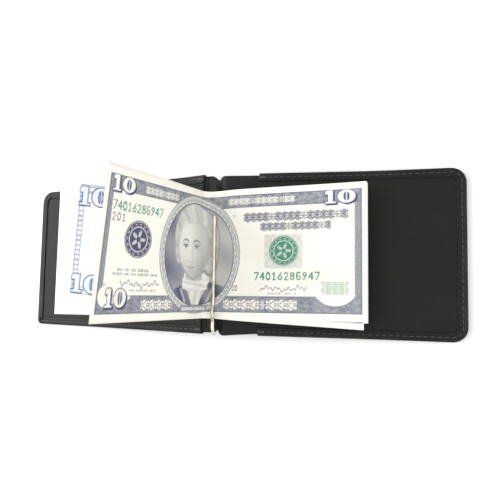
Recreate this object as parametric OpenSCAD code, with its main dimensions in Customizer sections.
// Bifold leather money-clip wallet, pressed open a little past flat, with notes under the clip.
// Millimetres. +X runs across the covers, +Y up the spine, +Z away from the table.
// The origin is on the table, under the middle of the spine.

/* [Covers] */
// Width of one cover, from its fold line to its free edge
cover_w = 119; // [95:1:145]
// Height of the covers along the spine
cover_h = 82; // [76:1:105]
// Corner radius at the free edge
corner_r = 7; // [5.5:0.5:12]
// Radius of the left cover's lower corner, which is squarer
left_low_r = 3; // [2:0.5:12]
// Radius of the right cover's corners beside the fold
fold_corner_r = 0.6; // [0.5:0.1:4]
// Slope of each cover below the level spine
open_past_flat = 5.7; // [2:0.1:10]

/* [Leather and board] */
// Outer leather thickness
leather_t = 0.9; // [0.6:0.1:1.3]
// Stiffening board thickness
board_t = 0.4; // [0.2:0.1:0.6]
// Margin between the board and the cover's edge
board_margin = 5; // [2:0.5:10]
// Cloth lining thickness
lining_t = 0.2; // [0.1:0.05:0.4]
// Leather thickness of the back pocket
back_pocket_t = 0.4; // [0.3:0.1:0.8]
// Leather thickness of the front pocket
front_pocket_t = 0.5; // [0.3:0.1:0.8]
// Slack left for cards behind each pocket
card_gap = 0.15; // [0.1:0.05:0.4]

/* [Turned edge] */
// Width of the leather turned over on to the front pocket
hem_w = 4.5; // [3.5:0.5:7]
// Thickness of that skived, turned leather
hem_t = 0.5; // [0.4:0.1:0.9]
// Thickness of the turned edge's outside wall
hem_wall = 0.8; // [0.5:0.1:1]
// Fold line to the front pocket's mouth, right cover
right_mouth = 19; // [10:1:50]
// Fold line to the front pocket's mouth, left cover
left_mouth = 1.5; // [1.5:0.5:50]

/* [Stitching] */
// Distance of the edge seam from the edge
seam_inset = 2.3; // [1.5:0.1:3]
// Width of a run of thread
thread_w = 0.5; // [0.3:0.1:0.7]
// Height of a run of thread
thread_t = 0.2; // [0.1:0.05:0.3]
// Distance of the mouth seam from the pocket's mouth
mouth_seam = 2; // [1.5:0.5:4]
// Length of a bar tack along the edge
tack_l = 3.5; // [2:0.5:5]
// Width of a bar tack
tack_w = 1.4; // [1:0.1:2]

/* [Spine] */
// Distance between the two fold lines
spine_w = 10; // [9:0.5:16]
// Depth of the scoop in the spine leather's upper end
top_scoop = 2.3; // [1:0.1:5]
// Depth of the notch in its lower end, round the clip
low_notch = 2.5; // [1:0.5:3.5]
// Leather thickness of the sleeve sewn over the clip's back leg
sleeve_t = 0.4; // [0.3:0.1:0.6]
// Width of the sleeve's sewn flange on each side
sleeve_flange = 1.9; // [1:0.1:2.5]

/* [Clip] */
// Distance of the clip to the right of the spine's middle
clip_x = 1.2; // [0:0.1:2]
// Diameter of the spring wire
wire_d = 1.9; // [1.5:0.1:2.3]
// Spine's lower end to the outside of the wire's bend
bend_inset = 0.1; // [0:0.1:2]
// Length of the spring arm from the bend's centre to its lifted tip
arm_l = 54; // [46:1:68]
// Length of the arm's lifted tip
tip_l = 4; // [2:0.5:8]
// Radius of the curves that make the arm's hump and lift its tip
hump_r = 4; // [3:0.5:8]
// Angle that the arm climbs at in its hump
hump_rise = 34; // [10:1:45]
// Straight run from the bend's centre to the hump
hump_start = 3.5; // [1:0.5:8]
// Rise of the lifted tip
tip_rise = 7; // [2:1:12]
// Length of the back leg from the bend's centre
leg_l = 66; // [50:1:68]
// Travel of the spring arm
arm_travel = 12; // [5:1:15]

/* [Notes] */
// Length of a banknote
note_l = 156; // [140:1:165]
// Height of a banknote
note_h = 66.3; // [60:0.1:72]
// Thickness of the folded wad under the clip
stack_t = 0.7; // [0.4:0.1:1]
// Lean of the left notes that stand up
front_leaf_angle = 74; // [60:1:86]
// Lean of the left notes that lie back
back_leaf_angle = 18; // [5:1:40]

/* [Hidden] */
$fn = 64;
slip = 0.1;             // clearance of a sliding or resting face
fold_gap = 0.15;        // half of the gap at a fold line
cord_gap = 0.03;        // clearance of the wire in its sleeve
corner_min = 0.6;       // smallest radius that an inset corner keeps
fuse = 0.02;            // overlap that joins two solids of one piece
wire_sides = 24;        // flats round the bent arm
curve_step = 6;         // largest turn between two rings of the arm

// heights of the layers above the outside face of the leather
board_z = leather_t;
lining_z = board_z + board_t;
back_z = lining_z + lining_t + card_gap;
front_z = back_z + back_pocket_t + card_gap;
hem_z = front_z + front_pocket_t;
hem_top = hem_z + hem_t;

// the fold line is on the inside face of the outer leather
fold_z = leather_t;
half_spine = spine_w / 2;
spine_z = cover_w * sin(open_past_flat) + fold_z * cos(open_past_flat) - fold_z;
inner_start = fold_z + 0.1;     // inner layers stay clear of the fold
inner_inset = hem_wall + 0.05;  // inner layers stay inside the turned edge's wall
half_h = cover_h / 2;
half_leather_h = half_h - hem_wall;

// the clip and the wad that it holds, above the outside face of the spine
leg_z = leather_t + wire_d / 2;
sleeve_top = leather_t + wire_d + sleeve_t;
wad_z = sleeve_top + slip;
wad_top = wad_z + stack_t;
arm_z = wad_top + slip + wire_d / 2;
bend_r = (arm_z - leg_z) / 2;
bend_z = (arm_z + leg_z) / 2;
bend_y = -half_h + bend_inset + wire_d / 2 + bend_r;
sleeve_low = bend_y + 1.5;
sleeve_high = half_leather_h - top_scoop - 3.2;
leg_end = min(bend_y + leg_l, sleeve_high - 2);
arch_r = wire_d / 2 + sleeve_t;
flange_end = min(arch_r + sleeve_flange, half_spine - clip_x - 0.3);
half_note = note_l / 2;
middle_w = wire_d + 0.5;              // the wad's part that stays under the arm
leaf_x = middle_w / 2 + 2 * slip;     // fold line of the right and the front left notes
leaf_t = stack_t / 2 - slip / 2;      // half of the wad, on the left
leaf_step = stack_t / 2;              // the back left notes fold this far outside and below

leather_black = [0.07, 0.075, 0.075];
leather_grey = [0.11, 0.115, 0.11];
board_brown = [0.42, 0.33, 0.22];
lining_black = [0.05, 0.05, 0.06];
thread_black = [0.16, 0.16, 0.17];
steel_grey = [0.72, 0.70, 0.62];
paper_white = [0.90, 0.90, 0.85];

// ---- places ----

// Puts a cover, drawn from its fold line along +X with its outside face at z = 0, on the right
module on_right() {
    translate([half_spine, 0, spine_z + fold_z])
        rotate([0, open_past_flat, 0])
            translate([0, 0, -fold_z]) children();
}

module on_left() {
    mirror([1, 0, 0]) on_right() children();
}

// The level spine, with z counted from its leather's outside face
module on_spine() {
    translate([0, 0, spine_z]) children();
}

// The clip's own middle plane on the spine
module on_clip() {
    translate([clip_x, 0, spine_z]) children();
}

// ---- covers ----

// What rounding to radius `r` takes off a square corner at (x, y); `sx`, `sy` point into the panel
module corner_waste(x, y, sx, sy, r) {
    translate([x, y])
        scale([sx, sy])
            difference() {
                translate([-1, -1]) square(r + 1);
                translate([r, r]) circle(r);
            }
}

// A cover's outline from `start` to its free edge, drawn in by `inset`, with rounded free corners
module cover_outline(inset, start, low_r) {
    w = cover_w - inset;
    h = half_h - inset;
    difference() {
        translate([start, -h]) square([w - start, 2 * h]);
        corner_waste(w, h, -1, -1, max(corner_r - inset, corner_min));
        corner_waste(w, -h, -1, 1, max(low_r - inset, corner_min));
    }
}

// One flat layer of a cover, with its two corners beside the fold rounded to `fold_r`
module layer(z, t, inset, start, low_r, fold_r) {
    h = half_h - inset;
    translate([0, 0, z])
        linear_extrude(t)
            difference() {
                cover_outline(inset, start, low_r);
                corner_waste(start, h, 1, -1, fold_r);
                corner_waste(start, -h, 1, 1, fold_r);
            }
}

// The band between two insets, open towards the spine
module band(z, t, outside, inside, start, low_r) {
    translate([0, 0, z])
        linear_extrude(t)
            difference() {
                cover_outline(outside, start, low_r);
                cover_outline(inside, start - 1, low_r);
            }
}

module outer_leather(low_r, fold_r) {
    color(leather_black) layer(0, leather_t, hem_wall, fold_gap, low_r, fold_r);
}

module board(low_r) {
    color(board_brown) layer(board_z, board_t, board_margin, board_margin, low_r, corner_min);
}

module lining(low_r, fold_r) {
    color(lining_black) layer(lining_z, lining_t, inner_inset, inner_start, low_r, fold_r);
}

module back_pocket(low_r, fold_r) {
    color(leather_grey) layer(back_z, back_pocket_t, inner_inset, inner_start, low_r, fold_r);
}

module front_pocket(mouth, low_r) {
    color(leather_grey) layer(front_z, front_pocket_t, inner_inset, mouth, low_r, corner_min);
}

// The outer leather's edge, turned up round the layers and over on to the front pocket
module turned_edge(mouth, low_r) {
    color(leather_black) {
        band(0, hem_z + fuse, 0, hem_wall, mouth, low_r);
        band(hem_z, hem_t, 0, hem_w, mouth, low_r);
    }
}

module edge_thread(mouth, low_r) {
    color(thread_black)
        band(hem_top, thread_t, seam_inset - thread_w / 2, seam_inset + thread_w / 2,
             mouth + tack_l + 0.5, low_r);
}

module mouth_thread(mouth) {
    run = half_h - hem_w - slip;
    color(thread_black)
        translate([mouth + mouth_seam, -run, hem_z]) cube([thread_w, 2 * run, thread_t]);
}

// A bar tack across each end of the pocket's mouth, where the turned edge starts
module bar_tacks(mouth) {
    color(thread_black)
        for (side = [-1, 1])
            translate([mouth + 0.2, side * (half_h - seam_inset) - tack_w / 2, hem_top])
                cube([tack_l, tack_w, thread_t]);
}

// ---- spine ----

// A round cut of depth `deep` in an end of the spine leather, deepest at `x` and `half_w` wide there
module end_cut(side, x, half_w, deep) {
    r = (half_w * half_w + deep * deep) / (2 * deep);
    translate([x, side * (half_leather_h + r - deep)]) circle(r);
}

// The leather between the fold lines, cut at both ends so that it folds without a bulge
module spine_leather() {
    scoop_x = clip_x + 0.4;
    color(leather_black)
        on_spine()
            linear_extrude(leather_t)
                difference() {
                    square([spine_w - 2 * fold_gap, 2 * half_leather_h], center = true);
                    end_cut(1, scoop_x, half_spine - 0.8, top_scoop);
                    end_cut(-1, clip_x + 0.7, wire_d + 0.5, low_notch);
                }
}

// The sleeve's section: two sewn flanges with an arch over the wire
module sleeve_section() {
    translate([-flange_end, leather_t]) square([2 * flange_end, sleeve_t]);
    translate([-arch_r, leather_t]) square([2 * arch_r, wire_d / 2]);
    translate([0, leg_z]) circle(arch_r);
}

// The leather sewn over the clip's back leg, closed at its upper end
module clip_sleeve() {
    tunnel_r = wire_d / 2 + cord_gap;
    tunnel_l = leg_end + 1.5 - sleeve_low;
    color(leather_grey)
        on_clip()
            difference() {
                translate([0, sleeve_high, 0])
                    rotate([90, 0, 0])
                        linear_extrude(sleeve_high - sleeve_low)
                            intersection() {
                                sleeve_section();
                                translate([-flange_end, leather_t])
                                    square([2 * flange_end, sleeve_top - leather_t]);
                            }
                translate([0, sleeve_low - 1, leg_z])
                    rotate([-90, 0, 0]) cylinder(r = tunnel_r, h = tunnel_l);
                translate([-tunnel_r, sleeve_low - 1, 0])
                    cube([2 * tunnel_r, tunnel_l, leg_z]);
            }
}

module sleeve_thread() {
    seam_x = (flange_end + arch_r) / 2;
    color(thread_black)
        on_clip()
            for (side = [-1, 1])
                translate([side * seam_x - thread_w / 2, sleeve_low + 1, leather_t + sleeve_t])
                    cube([thread_w, sleeve_high - sleeve_low - 2, thread_t]);
}

// ---- clip ----

// The leg in the sleeve, and the half of the bend that stays with it
module clip_back_leg() {
    color(steel_grey)
        on_clip() {
            translate([0, bend_y, leg_z])
                rotate([-90, 0, 0]) cylinder(d = wire_d, h = leg_end - bend_y);
            translate([0, bend_y, bend_z])
                rotate([90, 0, 90])
                    rotate([0, 0, 180])
                        rotate_extrude(angle = 90)
                            translate([bend_r, 0]) circle(d = wire_d);
        }
}

// Points [y, z, heading] on a wire's middle line, from `p` along stretches of [length, 0]
// for a straight run or [radius, turn] for a curve
function middle_line(stretches, i, p) =
    i == len(stretches) ? [p] :
    let (size = stretches[i][0],
         turn = stretches[i][1],
         steps = turn == 0 ? 1 : ceil(abs(turn) / curve_step),
         r = turn < 0 ? -size : size,
         ahead = [for (k = [0 : steps])
             let (h = p[2] + turn * k / steps)
             turn == 0 ? p + k * size * [cos(h), sin(h), 0]
                       : [p[0] + r * (sin(h) - sin(p[2])), p[1] + r * (cos(p[2]) - cos(h)), h]])
    concat([for (k = [0 : steps - 1]) ahead[k]], middle_line(stretches, i + 1, ahead[steps]));

// A round wire along a middle line in the YZ plane, as rings of points joined by flat faces
module bent_wire(line) {
    n = wire_sides;
    rings = len(line);
    points = [for (p = line, k = [0 : n - 1])
        let (u = wire_d / 2 * cos(360 * k / n), v = wire_d / 2 * sin(360 * k / n))
        [u, p[0] - v * sin(p[2]), p[1] + v * cos(p[2])]];
    sides = [for (i = [0 : rings - 2], k = [0 : n - 1])
        [i * n + k, i * n + (k + 1) % n, (i + 1) * n + (k + 1) % n, (i + 1) * n + k]];
    start_face = [for (k = [0 : n - 1]) n - 1 - k];
    end_face = [for (k = [0 : n - 1]) (rings - 1) * n + k];
    polyhedron(points, concat([start_face], sides, [end_face]));
}

// The free arm: half of the bend, a hump that clears the notes' edge, a long run and a lifted tip
module clip_spring_arm() {
    start = 180 - arm_travel;
    hump_l = 4 * hump_r * sin(hump_rise);
    stretches = [
        [bend_r, 90 - start],
        [hump_start, 0],
        [hump_r, hump_rise],
        [hump_r, -2 * hump_rise],
        [hump_r, hump_rise],
        [arm_l - hump_start - hump_l, 0],
        [hump_r, tip_rise],
        [tip_l, 0]
    ];
    color(steel_grey)
        on_clip()
            bent_wire(middle_line(stretches, 0, [
                bend_y + bend_r * cos(start), bend_z + bend_r * sin(start), start - 90
            ]));
}

// ---- notes ----

// The part of the wad that the arm presses on the sleeve
module notes_middle() {
    color(paper_white)
        on_clip()
            translate([-middle_w / 2, -note_h / 2, wad_z]) cube([middle_w, note_h, stack_t]);
}

// Half of the notes, hinged at (x, z) by its upper inner corner and rising outwards at `angle`
module leaf(side, x, z, t, angle) {
    on_clip()
        mirror([(1 - side) / 2, 0, 0])
            translate([x, 0, z])
                rotate([0, -angle, 0])
                    translate([0, -note_h / 2, -t]) cube([half_note - middle_w / 2, note_h, t]);
}

module notes_right_leaf() {
    color(paper_white) leaf(1, leaf_x, wad_top, stack_t, 0);
}

module notes_left_front_leaf() {
    color(paper_white) leaf(-1, leaf_x, wad_top, leaf_t, front_leaf_angle);
}

module notes_left_back_leaf() {
    color(paper_white)
        leaf(-1, leaf_x + leaf_step, wad_top - leaf_step, leaf_t, back_leaf_angle);
}

spine_leather();
clip_sleeve();
sleeve_thread();
clip_back_leg();
clip_spring_arm();
on_left() outer_leather(left_low_r, corner_min);  // left_outer_leather
on_left() board(left_low_r);  // left_board
on_left() lining(left_low_r, corner_min);  // left_lining
on_left() back_pocket(left_low_r, corner_min);  // left_back_pocket
on_left() front_pocket(left_mouth, left_low_r);  // left_front_pocket
on_left() turned_edge(left_mouth, left_low_r);  // left_turned_edge
on_left() edge_thread(left_mouth, left_low_r);  // left_edge_thread
on_left() mouth_thread(left_mouth);  // left_mouth_thread
on_left() bar_tacks(left_mouth);  // left_bar_tacks
on_right() outer_leather(corner_r, fold_corner_r);  // right_outer_leather
on_right() board(corner_r);  // right_board
on_right() lining(corner_r, fold_corner_r);  // right_lining
on_right() back_pocket(corner_r, fold_corner_r);  // right_back_pocket
on_right() front_pocket(right_mouth, corner_r);  // right_front_pocket
on_right() turned_edge(right_mouth, corner_r);  // right_turned_edge
on_right() edge_thread(right_mouth, corner_r);  // right_edge_thread
on_right() mouth_thread(right_mouth);  // right_mouth_thread
on_right() bar_tacks(right_mouth);  // right_bar_tacks
notes_middle();
notes_right_leaf();
notes_left_front_leaf();
notes_left_back_leaf();
